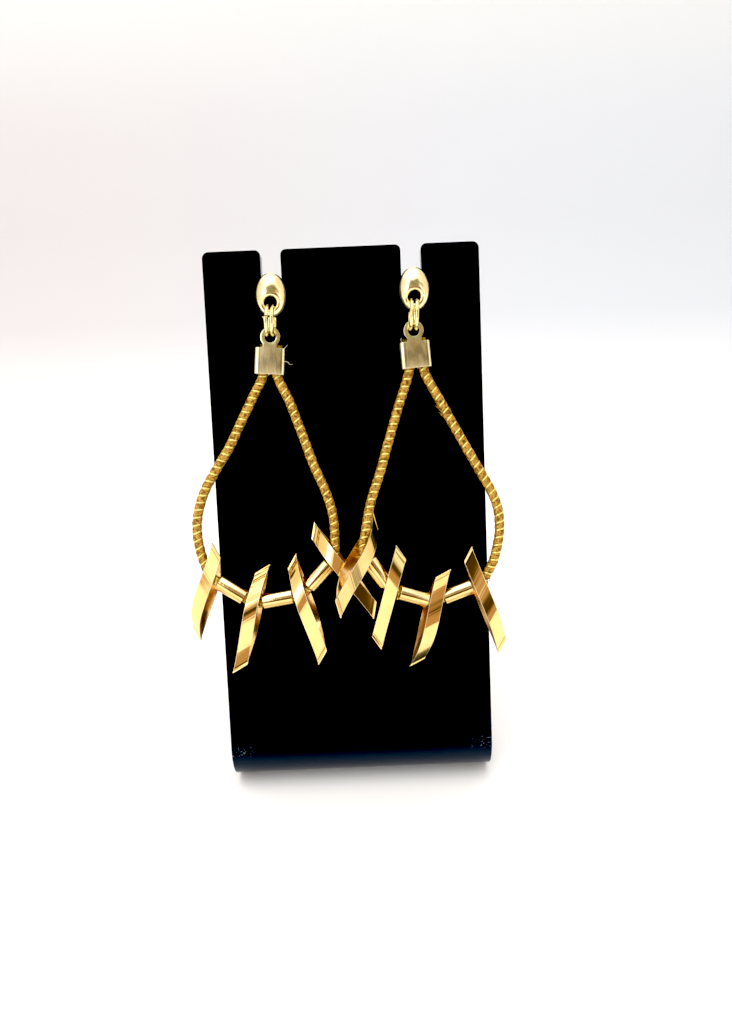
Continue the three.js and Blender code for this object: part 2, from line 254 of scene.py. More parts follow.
def spin(bm, geom, centre, axis, angle, steps, closed=False):
    return bmesh.ops.spin(
        bm, geom=geom, cent=centre, axis=axis, angle=angle, steps=steps, use_merge=closed,
        use_duplicate=False,
    )


def face_outwards(bm, faces=None):
    bmesh.ops.recalc_face_normals(bm, faces=faces or bm.faces[:])


def thicken(bm, thickness):
    bmesh.ops.solidify(bm, geom=bm.faces[:], thickness=thickness)
    face_outwards(bm)


def put(bm, place):
    bmesh.ops.transform(bm, matrix=place, verts=bm.verts[:])


def mark(bm, name, value):
    """Gives each corner a number, worked out from its place, that its finish reads."""
    layer = bm.verts.layers.float.new(name)
    for v in bm.verts:
        v[layer] = value(v.co)


def verts_of(geom):
    return [g for g in geom if isinstance(g, bmesh.types.BMVert)]


def edges_of(geom):
    return [g for g in geom if isinstance(g, bmesh.types.BMEdge)]


def panel_outline(bm):
    """The panel's front skin: one face with its two slots, every corner rounded."""
    half_width = PANEL_WIDTH / 2
    corners = [(-half_width, 0), (half_width, 0), (half_width, PANEL_HEIGHT)]
    floor_at = PANEL_HEIGHT - SLOT_DEPTH
    for slot_x in (SLOT_SPACING / 2, -SLOT_SPACING / 2):
        right, left = slot_x + SLOT_WIDTH / 2, slot_x - SLOT_WIDTH / 2
        corners += [(right, PANEL_HEIGHT), (right, floor_at), (left, floor_at), (left, PANEL_HEIGHT)]
    corners.append((-half_width, PANEL_HEIGHT))
    verts = [bm.verts.new((x, y, 0)) for x, y in corners]
    bm.faces.new(verts)
    rounds = [
        (SLOT_WIDTH / 2 * 0.999, 8, [v for v in verts if abs(v.co.y - floor_at) < 1e-6]),
        (SLOT_MOUTH_RADIUS, 6, [v for v in verts[3:11] if abs(v.co.y - PANEL_HEIGHT) < 1e-6]),
        (CORNER_RADIUS, 6, [verts[2], verts[11]]),
    ]
    for radius, segments, where in rounds:
        round_edges(bm, where, radius, segments, "VERTICES")


def stand_sheet():
    bm = bmesh.new()
    panel_outline(bm)
    put(bm, panel)
    lowest = min(v.co.z for v in bm.verts)
    foot = [e for e in bm.edges if all(v.co.z < lowest + 1e-6 for v in e.verts)]
    centre = (0, -BASE_FLAT / 2, BEND_RADIUS)
    bend = spin(bm, foot + list(foot[0].verts), centre, (1, 0, 0), pi / 2 + LEAN, BEND_STEPS)
    base = bmesh.ops.extrude_edge_only(bm, edges=edges_of(bend["geom_last"]))
    bmesh.ops.translate(bm, vec=(0, BASE_FLAT, 0), verts=verts_of(base["geom"]))
    face_outwards(bm)
    face = max(bm.faces, key=lambda f: len(f.verts))
    if face.normal.y > 0:
        bmesh.ops.reverse_faces(bm, faces=bm.faces[:])
    thicken(bm, SHEET)
    round_edges(bm, sharp_edges(bm, radians(50)), EDGE_ROUND)
    return bm


stand = add_piece("stand_sheet", stand_sheet(), black_acrylic(), "display_stand")
stand.modifiers.new("even shading", "WEIGHTED_NORMAL").keep_sharp = True


# Ear studs. Each is a hollow oval cap, cast and plated in pale gold, with a funnel-shaped hole near
# its lower end for the jump rings and a small dent left above the hole. A straight post is soldered
# inside the cap.
CAP_HALF_WIDTH = 0.0034
CAP_HALF_HEIGHT = 0.0047
CAP_RIM = 0.0008
CAP_DEPTH = 0.0033
CAP_WALL = 0.0009
CAP_STANDOFF = 0.0022
CAP_YAW = radians(7)
HOLE_AT = (-0.0003, -0.00175)
HOLE_RADIUS = 0.00127
FUNNEL_RADIUS = 0.00205
POST_RADIUS = 0.00045
POST_RISE = 0.00085
POST_LENGTH = 0.0112
POST_TIP_ROUND = 0.0002
CAP_SEGMENTS = 112
DOME_RINGS = 34
FUNNEL_RINGS = 8
FUNNEL_DROP = 0.00062
DENT_AT = (-0.0001, 0.0008)
DENT_REACH = (0.0012, 0.00045)
DENT_DEPTH = 0.00002
# x, y, slope, reach: short casting creases above the hole.
CREASES = [
    (-0.0009, 0.0012, radians(-48), 0.0007),
    (0.0007, 0.0010, radians(-36), 0.0008),
    (0.0013, 0.0004, radians(-62), 0.0005),
    (-0.0014, 0.0002, radians(58), 0.0006),
    (0.0001, 0.0015, radians(30), 0.0004),
]
CREASE_REACH = 0.00014
CREASE_DEPTH = 0.000012
STUDS = {"left": (-0.01515, 0.10065), "right": (0.0154, 0.10065)}
CHAMPAGNE = (1.0, 0.90, 0.56, 1)
CHAMPAGNE_DEEP = (0.98, 0.79, 0.38, 1)
CREASE_PAINTED_SHADE = (0.20, 0.13, 0.04, 1)


def champagne_gold(name, pale, deep):
    """Pale plated gold over a cast surface: faint waves, a deeper tone here and there, and painted brown
    shade in its creases.
    """
    finish = Finish(name, Metallic=1.0)
    at = finish.place()
    cloud = finish.noise(at, 420, 3.0)
    waves = finish.noise(at, 700, 2.0)
    grain = finish.noise(at, 5200, 2.0)
    crease_shade = finish.attribute("crease")
    colour = finish.mix(cloud.step(0.35, 0.75), pale, deep)
    # Painted shade: the casting creases are darkened brown.
    colour = finish.mix(crease_shade * (0.5 + cloud * 0.5), colour, CREASE_PAINTED_SHADE)
    bump = finish.bump(waves + grain * 0.12, 0.40, 0.00010)
    return finish.feed(Base_Color=colour, Roughness=0.12 + cloud * 0.10 + crease_shade * 0.1, Normal=bump)


champagne = champagne_gold("champagne_gold", CHAMPAGNE, CHAMPAGNE_DEEP)


def crease_at(x, y):
    """1 in the middle of a crease and 0 away from them all."""
    depth = 0
    for crease_x, crease_y, slope, reach in CREASES:
        along = (x - crease_x) * cos(slope) + (y - crease_y) * sin(slope)
        off = (y - crease_y) * cos(slope) - (x - crease_x) * sin(slope)
        depth += exp(-((along / reach) ** 2) - (off / CREASE_REACH) ** 2)
    return min(1.0, depth)


def cap_height(x, y, shrink=0.0):
    """How far the cap's dome stands out at x, y. The dent sits just above the hole."""
    across = (x / (CAP_HALF_WIDTH - shrink)) ** 2 + (y / (CAP_HALF_HEIGHT - shrink)) ** 2
    dome = (CAP_DEPTH - CAP_RIM) * sqrt(max(0.0, 1 - across))
    off_x, off_y = (x - DENT_AT[0]) / DENT_REACH[0], (y - DENT_AT[1]) / DENT_REACH[1]
    dent = DENT_DEPTH * exp(-(off_x ** 2) - off_y ** 2)
    return CAP_RIM + dome - shrink - dent - CREASE_DEPTH * crease_at(x, y)


def grow_ring(bm, ring, place):
    """Extrudes a closed ring of edges and puts each new corner at place(turn), turn from 0 to 2 pi."""
    made = bmesh.ops.extrude_edge_only(bm, edges=ring)["geom"]
    fresh = set(verts_of(made))
    marks = bm.verts.layers.float["turn"]
    for v in fresh:
        v.co = place(v[marks])
    return [e for e in edges_of(made) if set(e.verts) <= fresh]


def start_ring(bm, segments, place):
    """A circle whose corners remember their turn, put in place like the rings that grow from it."""
    marks = bm.verts.layers.float.new("turn")
    made = bmesh.ops.create_circle(bm, cap_ends=False, segments=segments, radius=1)
    for v in made["verts"]:
        v[marks] = atan2(v.co.y, v.co.x)
        v.co = place(v[marks])
    return bm.edges[:]


def stud_cap():
    bm = bmesh.new()

    def oval(turn, inset, height):
        return Vector((
            (CAP_HALF_WIDTH - inset) * cos(turn), (CAP_HALF_HEIGHT - inset) * sin(turn), height
        ))

    def round_hole(turn, radius, height):
        return Vector((HOLE_AT[0] + radius * cos(turn), HOLE_AT[1] + radius * sin(turn), height))

    def over_dome(share, shrink):
        def place(turn):
            edge = oval(turn, shrink, 0)
            lip = round_hole(turn, FUNNEL_RADIUS - shrink * 0.6, 0)
            spot = edge.lerp(lip, share)
            spot.z = cap_height(spot.x, spot.y, shrink)
            return spot
        return place

    first = start_ring(bm, CAP_SEGMENTS, lambda turn: oval(turn, 0.0001, 0))
    ring = grow_ring(bm, first, lambda turn: oval(turn, 0, 0.00015))
    ring = grow_ring(bm, ring, lambda turn: oval(turn, 0, CAP_RIM))
    for i in range(1, DOME_RINGS + 1):
        ring = grow_ring(bm, ring, over_dome(1 - cos(i / DOME_RINGS * pi / 2), 0))
    for i in range(1, FUNNEL_RINGS + 1):
        slope = i / FUNNEL_RINGS * pi / 2

        def down_funnel(turn, slope=slope):
            lip = round_hole(turn, FUNNEL_RADIUS, 0)
            radius = HOLE_RADIUS + (FUNNEL_RADIUS - HOLE_RADIUS) * (1 - sin(slope))
            top = cap_height(lip.x, lip.y)
            return round_hole(turn, radius, top - FUNNEL_DROP * (1 - cos(slope)) ** 1.6)
        ring = grow_ring(bm, ring, down_funnel)
    for i in range(FUNNEL_RINGS, -1, -1):
        ring = grow_ring(bm, ring, over_dome(1 - cos(i / FUNNEL_RINGS * pi / 2), CAP_WALL))
    ring = grow_ring(bm, ring, lambda turn: oval(turn, CAP_WALL - 0.0001, 0))
    bmesh.ops.bridge_loops(bm, edges=first + ring)
    face_outwards(bm)
    mark(bm, "crease", lambda at: crease_at(at.x, at.y))
    return bm


def add_post(bm):
    """A round wire from inside the cap to its blunt, slightly rounded tip behind the panel."""
    length = POST_LENGTH + CAP_DEPTH - CAP_WALL
    bmesh.ops.create_cone(
        bm, cap_ends=True, segments=20, radius1=POST_RADIUS, radius2=POST_RADIUS, depth=length,
        matrix=Matrix.Translation((0, POST_RISE, length / 2 - POST_LENGTH)),
    )
    tip = [e for e in bm.edges if all(v.co.z < -POST_LENGTH + 1e-6 for v in e.verts)]
    round_edges(bm, tip, POST_TIP_ROUND)


def stud_place(side):
    """The stud's own axes: z out of the cap, from the plane of its back rim."""
    x, y = STUDS[side]
    return on_panel(x, y, CAP_STANDOFF, tip=CAP_YAW)


for side in STUDS:
    cap = stud_cap()
    add_post(cap)
    put(cap, stud_place(side))
    add_piece(f"{side}_stud_casting", cap, champagne, f"{side}_ear_stud")


# Ear backs. A plain flanged barrel slides onto each post behind the panel and holds by its grip on the
# post. Turned from pale brass, with two grooves round the barrel.
CLUTCH_BORE = 0.0008
CLUTCH_BARREL = 0.0017
CLUTCH_FLANGE_RADIUS = 0.003
CLUTCH_FLANGE = 0.0007
CLUTCH_LENGTH = 0.0036
CLUTCH_FROM_CAP = 0.006
GROOVES_AT = (0.0013, 0.0022)
GROOVE_DEPTH = 0.00018
GROOVE_SLOPE = 0.0001
GROOVE_WIDTH = 0.0004
CLUTCH_ROUND = 0.00012


def turned_ring(outline, steps):
    """Spins a closed outline of (radius, height) once round z."""
    bm = bmesh.new()
    verts = [bm.verts.new((radius, 0, height)) for radius, height in outline]
    edges = [bm.edges.new((a, b)) for a, b in zip(verts, verts[1:] + verts[:1])]
    spin(bm, verts + edges, (0, 0, 0), (0, 0, 1), 2 * pi, steps, closed=True)
    bmesh.ops.remove_doubles(bm, verts=bm.verts[:], dist=1e-7)
    face_outwards(bm)
    return bm


def clutch():
    front = -CLUTCH_FROM_CAP
    back = front - CLUTCH_LENGTH
    flange_back = front - CLUTCH_FLANGE
    outline = [
        (CLUTCH_BORE, front), (CLUTCH_FLANGE_RADIUS, front),
        (CLUTCH_FLANGE_RADIUS, flange_back), (CLUTCH_BARREL, flange_back),
    ]
    for groove_at in GROOVES_AT:
        top, floor_radius = front - groove_at, CLUTCH_BARREL - GROOVE_DEPTH
        outline += [
            (CLUTCH_BARREL, top), (floor_radius, top - GROOVE_SLOPE),
            (floor_radius, top - GROOVE_WIDTH + GROOVE_SLOPE), (CLUTCH_BARREL, top - GROOVE_WIDTH),
        ]
    outline += [(CLUTCH_BARREL, back), (CLUTCH_BORE, back)]
    bm = turned_ring(outline, 48)
    round_edges(bm, sharp_edges(bm, radians(70)), CLUTCH_ROUND)
    return bm


for side in STUDS:
    back = clutch()
    place = stud_place(side) @ Matrix.Translation((0, POST_RISE, 0))
    put(back, place)
    add_piece(f"{side}_clutch_turned", back, champagne, f"{side}_ear_back")


# Jump rings. Two to an earring, each a turn of round wire through the stud's hole and the clamp's eye.
# The wire is cut and closed by hand, so its ends nearly meet; one left ring has kept a burr.
RING_WIRE = 0.00042
RING_RADIUS = 0.00305
RING_SPACING = 0.00115
RING_OUT = 0.00385
RING_TILT = radians(-4)
RING_GAP = radians(3.5)
RING_STEPS = 60
RINGS = {"left": (-0.01545, 0.09515), "right": (0.0151, 0.09515)}
CUT_AT = {"left": (radians(9), radians(200)), "right": (radians(155), radians(205))}
# How far a wire's end is sprung sideways, over what turn, and the one ring that is.
SPRUNG = 0.00042
SPRUNG_TURN = 0.16
SPRUNG_RING = ("left", 1)
RING_PALE = (1.0, 0.86, 0.47, 1)
RING_DEEP = (0.97, 0.76, 0.34, 1)

ring_gold = champagne_gold("ring_gold", RING_PALE, RING_DEEP)


def close_tube(bm, before=(), material_index=0):
    """Caps the tube made since before, turns its faces outwards and gives them their finish."""
    bmesh.ops.holes_fill(bm, edges=[e for e in bm.edges if e.is_boundary], sides=0)
    fresh = [f for f in bm.faces if f not in before]
    face_outwards(bm, fresh)
    for f in fresh:
        f.material_index = material_index


def jump_ring(cut_at, sprung):
    """An almost closed ring about x; cut_at is where its ends meet, from the front towards the top."""
    bm = bmesh.new()
    made = bmesh.ops.create_circle(
        bm, cap_ends=False, segments=16, radius=RING_WIRE,
        matrix=Matrix.Translation((0, 0, RING_RADIUS)) @ Matrix.Rotation(pi / 2, 4, "X"),
    )
    spin(bm, made["verts"] + bm.edges[:], (0, 0, 0), (1, 0, 0), 2 * pi - RING_GAP, RING_STEPS)
    close_tube(bm)
    for v in bm.verts:
        past_end = atan2(-v.co.y, v.co.z) % (2 * pi)
        v.co.x -= sprung * exp(-past_end / SPRUNG_TURN)
    bmesh.ops.rotate(bm, cent=(0, 0, 0), matrix=Matrix.Rotation(-cut_at, 3, "X"), verts=bm.verts[:])
    return bm


for side, (x, y) in RINGS.items():
    for number, (sign, cut_at) in enumerate(zip((-1, 1), CUT_AT[side]), 1):
        ring = jump_ring(cut_at, SPRUNG if (side, number) == SPRUNG_RING else 0)
        beside = Matrix.Translation((sign * RING_SPACING / 2, 0, 0))
        put(ring, on_panel(x, y, RING_OUT, RING_TILT) @ beside)
        name, node = f"{side}_ring_wire_{number}", f"{side}_jump_ring_{number}"
        add_piece(name, ring, ring_gold, node)


# Cord clamps. A blank of 0.4 mm plated sheet with a round eye is folded round both strands until its
# edges almost meet at the back. The front keeps the upright grain of the rolled sheet.
CLAMP_WIDTH = 0.0066
CLAMP_HEIGHT = 0.0056
CLAMP_DEPTH = 0.00365
CLAMP_SHEET = 0.0004
CLAMP_SEAM = 0.0006
CLAMP_CORNER = 0.0009
CLAMP_BACK = 0.00035
EYE_RISE = 0.00505
EYE_RADIUS = 0.00215
EYE_HOLE = 0.0012
EYE_NECK = 0.003
CLAMPS = {"left": (-0.0161, 0.0868, radians(-5)), "right": (0.0153, 0.0869, radians(3.5))}
CLAMP_ROUND = 0.00006
# How far in from its side of the clamp each painted highlight band and painted shade band begins, is full
# and ends.
LEFT_HIGHLIGHT = (0.00085, 0.00100)
LEFT_SHADE = (0.00085, 0.00110, 0.00110, 0.00140)
RIGHT_HIGHLIGHT = (0.00060, 0.00050)
RIGHT_SHADE = (0.00105, 0.00085)
LOW_HIGHLIGHT = (0.00018, 0.00028)
SATIN = (0.74, 0.72, 0.44, 1)
SATIN_PALE = (0.90, 0.87, 0.56, 1)
SATIN_PAINTED_HIGHLIGHT = (1.0, 0.89, 0.60, 1)
SATIN_PAINTED_SHADE = (0.22, 0.19, 0.07, 1)


def satin_gold():
    """Satin plating with a fine upright grain, with painted highlights and painted shade where the sheet
    is folded.
    """
    finish = Finish("satin_gold", Metallic=1.0)
    at = finish.place()
    grain = finish.noise(finish.stretched(at, (9000, 9000, 700)), 1.0, 3.0, 0.65)
    streaks = finish.noise(finish.stretched(at, (1900, 1900, 160)), 1.0, 2.0)
    colour = finish.mix(streaks.step(0.3, 0.75), SATIN, SATIN_PALE)
    across, up = finish.attribute("across"), finish.attribute("up")
    right, top = CLAMP_WIDTH / 2, CLAMP_HEIGHT / 2
    left_highlight = 1 - across.step(*(inset - right for inset in LEFT_HIGHLIGHT))
    right_highlight = across.step(*(right - inset for inset in RIGHT_HIGHLIGHT))
    low_highlight = 1 - up.step(*(inset - top for inset in LOW_HIGHLIGHT))
    # Painted highlights along both folds and the lower edge, and painted shade beside the folds.
    painted_highlight = left_highlight.largest(right_highlight).largest(low_highlight)
    shaded = across.between(*(inset - right for inset in LEFT_SHADE))
    shaded_right = across.step(*(right - inset for inset in RIGHT_SHADE)) * (1 - right_highlight)
    colour = finish.mix(shaded.largest(shaded_right) * 0.45, colour, SATIN_PAINTED_SHADE)
    colour = finish.mix(painted_highlight * (0.6 + streaks * 0.4), colour, SATIN_PAINTED_HIGHLIGHT)
    bump = finish.bump(grain, 0.2, 0.00003)
    return finish.feed(Base_Color=colour, Roughness=0.19 + grain * 0.12, Normal=bump)


satin = satin_gold()


def neck_edges(bm):
    """The edges that join the front of the fold to its eye."""
    def at_neck(v):
        on_top = v.co.y > CLAMP_HEIGHT / 2 - 1e-6 and v.co.z > CLAMP_DEPTH - 1e-6
        return on_top and abs(v.co.x) < EYE_NECK / 2 + 1e-6
    return [e for e in bm.edges if all(at_neck(v) for v in e.verts)]


def clamp_fold():
    bm = bmesh.new()
    half = CLAMP_WIDTH / 2
    path = [
        (CLAMP_SEAM / 2, 0), (half, 0), (half, CLAMP_DEPTH), (-half, CLAMP_DEPTH), (-half, 0),
        (-CLAMP_SEAM / 2, 0),
    ]
    low = [bm.verts.new((x, -CLAMP_HEIGHT / 2, z)) for x, z in path]
    strip = [bm.edges.new(pair) for pair in zip(low, low[1:])]
    made = bmesh.ops.extrude_edge_only(bm, edges=strip)["geom"]
    bmesh.ops.translate(bm, vec=(0, CLAMP_HEIGHT, 0), verts=verts_of(made))
    round_edges(bm, sharp_edges(bm, radians(60)), CLAMP_CORNER, 6)
    for x in (-EYE_NECK / 2, EYE_NECK / 2):
        everything = bm.verts[:] + bm.edges[:] + bm.faces[:]
        bmesh.ops.bisect_plane(bm, geom=everything, dist=1e-7, plane_co=(x, 0, 0), plane_no=(1, 0, 0))
    bmesh.ops.subdivide_edges(bm, edges=neck_edges(bm), cuts=7)
    neck = neck_edges(bm)
    rings = []
    for radius in (EYE_RADIUS, EYE_HOLE):
        before = set(bm.edges)
        bmesh.ops.create_circle(
            bm, cap_ends=False, segments=32, radius=radius,
            matrix=Matrix.Translation((0, EYE_RISE, CLAMP_DEPTH)),
        )
        rings.append([e for e in bm.edges if e not in before])
    bmesh.ops.bridge_loops(bm, edges=rings[0] + rings[1])
    lip = [
        e for e in rings[0]
        if all(abs(v.co.x) < EYE_NECK / 2 + 0.0001 and v.co.y < EYE_RISE for v in e.verts)
    ]
    bmesh.ops.bridge_loops(bm, edges=lip + neck)
    face_outwards(bm)
    front = max(bm.faces, key=lambda f: f.calc_center_median().z)
    if front.normal.z < 0:
        bmesh.ops.reverse_faces(bm, faces=bm.faces[:])
    thicken(bm, CLAMP_SHEET)
    round_edges(bm, sharp_edges(bm, radians(50)), CLAMP_ROUND, 2)
    mark(bm, "across", lambda at: at.x)
    mark(bm, "up", lambda at: at.y)
    return bm


for side, (x, y, turn) in CLAMPS.items():
    clamp = clamp_fold()
    put(clamp, on_panel(x, y, CLAMP_BACK, turn))
    add_piece(f"{side}_clamp_fold", clamp, satin, f"{side}_cord_clamp", radians(30))


# Fin beads. A closed strip of thin brass, pressed flat at both ends into a slanted blade with an open
# middle that the cord passes through, then polished and plated in yellow gold. Each hangs its own way.
FIN_HALF_LENGTH = 0.0086
FIN_PRESSED = 0.0007
FIN_BULGE = 0.0024
FIN_SWAY = 0.0008
FIN_SLANT = 0.9
FIN_STRIP = 0.0037
FIN_SHEET = 0.0003
FIN_HEM = 0.00008
FIN_STEPS = 44
FIN_NOSE_STEPS = 5
# Half the distance between the two sheets' middles where they touch, and where the pressed part and
# the rounded nose begin.
FIN_CLOSED = FIN_SHEET / 2 + 0.00001
PRESSED_FROM = FIN_HALF_LENGTH - FIN_PRESSED
NOSE_FROM = FIN_HALF_LENGTH - FIN_SHEET / 2 - FIN_CLOSED
FIN_RIM_ROUND = 0.00013
# How far in from the rims and the tips the rim's wear and painted highlight and the tip's painted dark
# line begin and end.
RIM_FROM, RIM_FULL = 0.00021, 0.00013
TIP_FROM, TIP_FULL = 0.0003, 0.0002
TIP_PAINTED_LINE = (0.00112, 0.00104, 0.0009, 0.00082)
# x, y, z: where the cord passes; turn, tip, roll: degrees about z, y and x; grip: how far the cord
# passes from the bead's middle, negative nearer its other end.
FINS = {
    "left": [
        (-0.0315, 0.0404, 0.0030, 116, -2, 154, 0.0030),
        (-0.0223, 0.0342, 0.0036, 28, 1, -14, 0.0025),
        (-0.0117, 0.0357, 0.0035, 58, -2, -10, 0.0026),
        (-0.0042, 0.0434, 0.0030, 78, 7, -10, 0.0024),
    ],
    "right": [
        (0.0024, 0.0451, 0.0062, -76, -3, 138, -0.0022),
        (0.0080, 0.0363, 0.0053, -58, 5, -167, -0.0018),
        (0.0174, 0.0330, 0.0038, -153, 2, -17, -0.0030),
        (0.0274, 0.0365, 0.0032, -119, -1, -6, -0.0030),
    ],
}
YELLOW = (1.0, 0.75, 0.31, 1)
YELLOW_DEEP = (0.97, 0.66, 0.24, 1)
FIN_RIM_WEAR_AND_HIGHLIGHT = (1.0, 0.81, 0.48, 1)
FIN_PAINTED_TIP_LINE = (0.24, 0.13, 0.035, 1)
EDGE_PALE = (1.0, 0.84, 0.50, 1)
EDGE_DEEP = (1.0, 0.76, 0.36, 1)
INSIDE_GOLD = (0.98, 0.70, 0.34, 1)
INSIDE_BROWN = (0.70, 0.42, 0.15, 1)


def yellow_gold():
    """Mirror-polished yellow plating: faint ripples from pressing, rims with wear and a painted highlight,
    and a painted dark line by each tip.
    """
    finish = Finish("yellow_gold", Metallic=1.0)
    at = finish.place()
    across, along = finish.attribute("across"), finish.attribute("along")
    tone = finish.noise(at, 260, 2.0)
    wiping = finish.noise(finish.stretched(at, (600, 4200, 2600), (0.4, 0.2, 0.9)), 1.0, 3.0, 0.6)
    ripple = finish.streaks(along * 1100)
    side, tip = FIN_STRIP / 2, FIN_HALF_LENGTH
    ends = abs(along).step(tip - TIP_FROM, tip - TIP_FULL)
    # The rims and tips are paler: partly wear, partly a painted highlight.
    rim = abs(across).step(side - RIM_FROM, side - RIM_FULL).largest(ends)
    # crease: a painted dark reflection line by each tip.
    crease = abs(along).between(*(tip - inset for inset in TIP_PAINTED_LINE))
    colour = finish.mix(tone.step(0.3, 0.8), YELLOW, YELLOW_DEEP)
    colour = finish.mix(crease * (1 - rim) * 0.8, colour, FIN_PAINTED_TIP_LINE)
    colour = finish.mix(rim, colour, FIN_RIM_WEAR_AND_HIGHLIGHT)
    bump = finish.bump(ripple + wiping * 0.03, 1.0, 0.000022)
    return finish.feed(Base_Color=colour, Roughness=0.04 + wiping * 0.05 + rim * 0.33, Normal=bump)


def worn_finish(name, scale, detail, fade, first, second, shine, **fixed):
    """A plain finish whose tone and shine drift from place to place."""
    finish = Finish(name, **fixed)
    wear = finish.noise(finish.place(), scale, detail)
    colour = finish.mix(wear.step(*fade), first, second)
    return finish.feed(Base_Color=colour, Roughness=shine[0] + wear * shine[1])


yellow = yellow_gold()
# The sheet's cut edges, tumbled soft: paler, and with a broader shine than the faces.
edge_gold = worn_finish(
    "gold_edge", 1400, 2.0, (0.35, 0.7), EDGE_PALE, EDGE_DEEP, (0.26, 0.12), Metallic=1.0
)
# The inside of the fold, which the polishing wheel never reaches: browner and duller.
inside_gold = worn_finish(
    "gold_inside", 900, 3.0, (0.3, 0.75), INSIDE_GOLD, INSIDE_BROWN, (0.15, 0.1), Metallic=1.0
)


def fin_sway(along):
    return FIN_SWAY * sin(pi * along / FIN_HALF_LENGTH)


def fin_gap(along):
    """Half the opening between the middles of the two sheets: bulging, then hemmed, closed at the nose."""
    if abs(along) < PRESSED_FROM:
        return FIN_CLOSED + (FIN_BULGE - FIN_CLOSED) * cos(pi * along / 2 / PRESSED_FROM)
    hem = FIN_CLOSED + FIN_HEM * sin(pi * (abs(along) - PRESSED_FROM) / FIN_PRESSED)
    beyond = max(0.0, abs(along) - NOSE_FROM) / FIN_CLOSED
    return hem * sqrt(max(0.0, 1 - beyond ** 2))


def fin_stations():
    """Places along the bead, closer together at the pressed ends so that the fold is round."""
    middle = [(2 * i / FIN_STEPS - 1) * PRESSED_FROM for i in range(FIN_STEPS + 1)]
    shares = [i / FIN_NOSE_STEPS for i in range(FIN_NOSE_STEPS + 1)]
    nose = [PRESSED_FROM + (NOSE_FROM - PRESSED_FROM) * share for share in shares[1:-1]]
    nose += [NOSE_FROM + FIN_CLOSED * sin(share * pi / 2) for share in shares]
    return [-n for n in reversed(nose)] + middle + nose


def fin_blade(grip):
    bm = bmesh.new()
    stations = fin_stations()
    ring = [(along, fin_sway(along) + fin_gap(along)) for along in reversed(stations)]
    ring += [(along, fin_sway(along) - fin_gap(along)) for along in stations]
    sway = fin_sway(grip)
    verts = []
    for along, opening in ring:
        spot = Vector((FIN_SLANT * (along - grip) - FIN_STRIP / 2, along - grip, opening - sway))
        if not verts or (spot - verts[-1].co).length > 2e-6:
            verts.append(bm.verts.new(spot))
    if (verts[0].co - verts[-1].co).length < 2e-6:
        bm.verts.remove(verts.pop())
    edges = [bm.edges.new(pair) for pair in zip(verts, verts[1:] + verts[:1])]
    made = bmesh.ops.extrude_edge_only(bm, edges=edges)["geom"]
    bmesh.ops.translate(bm, vec=(FIN_STRIP, 0, 0), verts=verts_of(made))
    face_outwards(bm)
    thicken(bm, FIN_SHEET)
    for face in round_edges(bm, sharp_edges(bm, radians(60)), FIN_RIM_ROUND)["faces"]:
        face.material_index = 1
    for face in bm.faces:
        middle = face.calc_center_median()
        fold = fin_sway(middle.y + grip) - sway
        if abs(face.normal.x) > 0.3:
            face.material_index = 1
        elif face.material_index == 0 and face.normal.z * (middle.z - fold) < 0:
            face.material_index = 2
    mark(bm, "across", lambda at: at.x - FIN_SLANT * at.y)
    mark(bm, "along", lambda at: at.y + grip)
    return bm


for side, rows in FINS.items():
    for number, (x, y, z, turn, tip, roll, grip) in enumerate(rows, 1):
        fin = fin_blade(grip)
        put(fin, on_panel(x, y, z, radians(turn), radians(tip), radians(roll)))
        name, node = f"{side}_fin_blade_{number}", f"{side}_fin_bead_{number}"
        blade = add_piece(name, fin, yellow, node)
        blade.data.materials.append(edge_gold)
        blade.data.materials.append(inside_gold)
        blade.modifiers.new("even shading", "WEIGHTED_NORMAL").keep_sharp = True


# Tube beads. Short lengths of thin-walled brass tube between the fins, polished and plated like them.
TUBE_RADIUS = 0.0018
TUBE_BORE = 0.00145
TUBE_LENGTH = 0.0065
TUBE_ROUND = 0.0001
# How far each tube sits from halfway between its two fins.
SLIDES = {"left": (-0.0002, 0, 0.0003), "right": (0.0002, 0.00015, 0.0003)}
TUBE_PAINTED_DARK_LINE = (0.16, 0.09, 0.025, 1)
TUBE_PAINTED_BROWN = (0.60, 0.38, 0.14, 1)
TUBE_PAINTED_HIGHLIGHT = (1.0, 0.85, 0.47, 1)
# Painted reflection bands along the tube: where each begins, is full, begins to end and ends, as shares of
# the radius.
PAINTED_HIGHLIGHT_BAND = (0.02, 0.16, 0.74, 0.84)
PAINTED_BROWN_BAND = (-0.60, -0.54, -0.36, -0.30)
PAINTED_LINE_BANDS = ((-0.08, -0.02, 0.05, 0.11), (0.82, 0.86, 0.92, 0.96))


def tube_gold():
    """The same plating over a drawn tube, with straight painted reflection bands that stand in for what it
    mirrors.
    """
    finish = Finish("tube_gold", Metallic=1.0)
    high, along = finish.attribute("high"), finish.attribute("along")
    marks = finish.streaks(along * 9000, 2.0)
    tone = finish.noise(finish.place(), 300, 2.0)
    line, upper_line = (high.between(*band) for band in PAINTED_LINE_BANDS)
    colour = finish.mix(tone.step(0.3, 0.8), YELLOW, YELLOW_DEEP)
    colour = finish.mix(high.between(*PAINTED_HIGHLIGHT_BAND), colour, TUBE_PAINTED_HIGHLIGHT)
    colour = finish.mix(high.between(*PAINTED_BROWN_BAND) * 0.8, colour, TUBE_PAINTED_BROWN)
    colour = finish.mix(line.largest(upper_line) * 0.9, colour, TUBE_PAINTED_DARK_LINE)
    bump = finish.bump(marks, 1.0, 0.00001)
    return finish.feed(Base_Color=colour, Roughness=0.07 + tone * 0.05, Normal=bump)


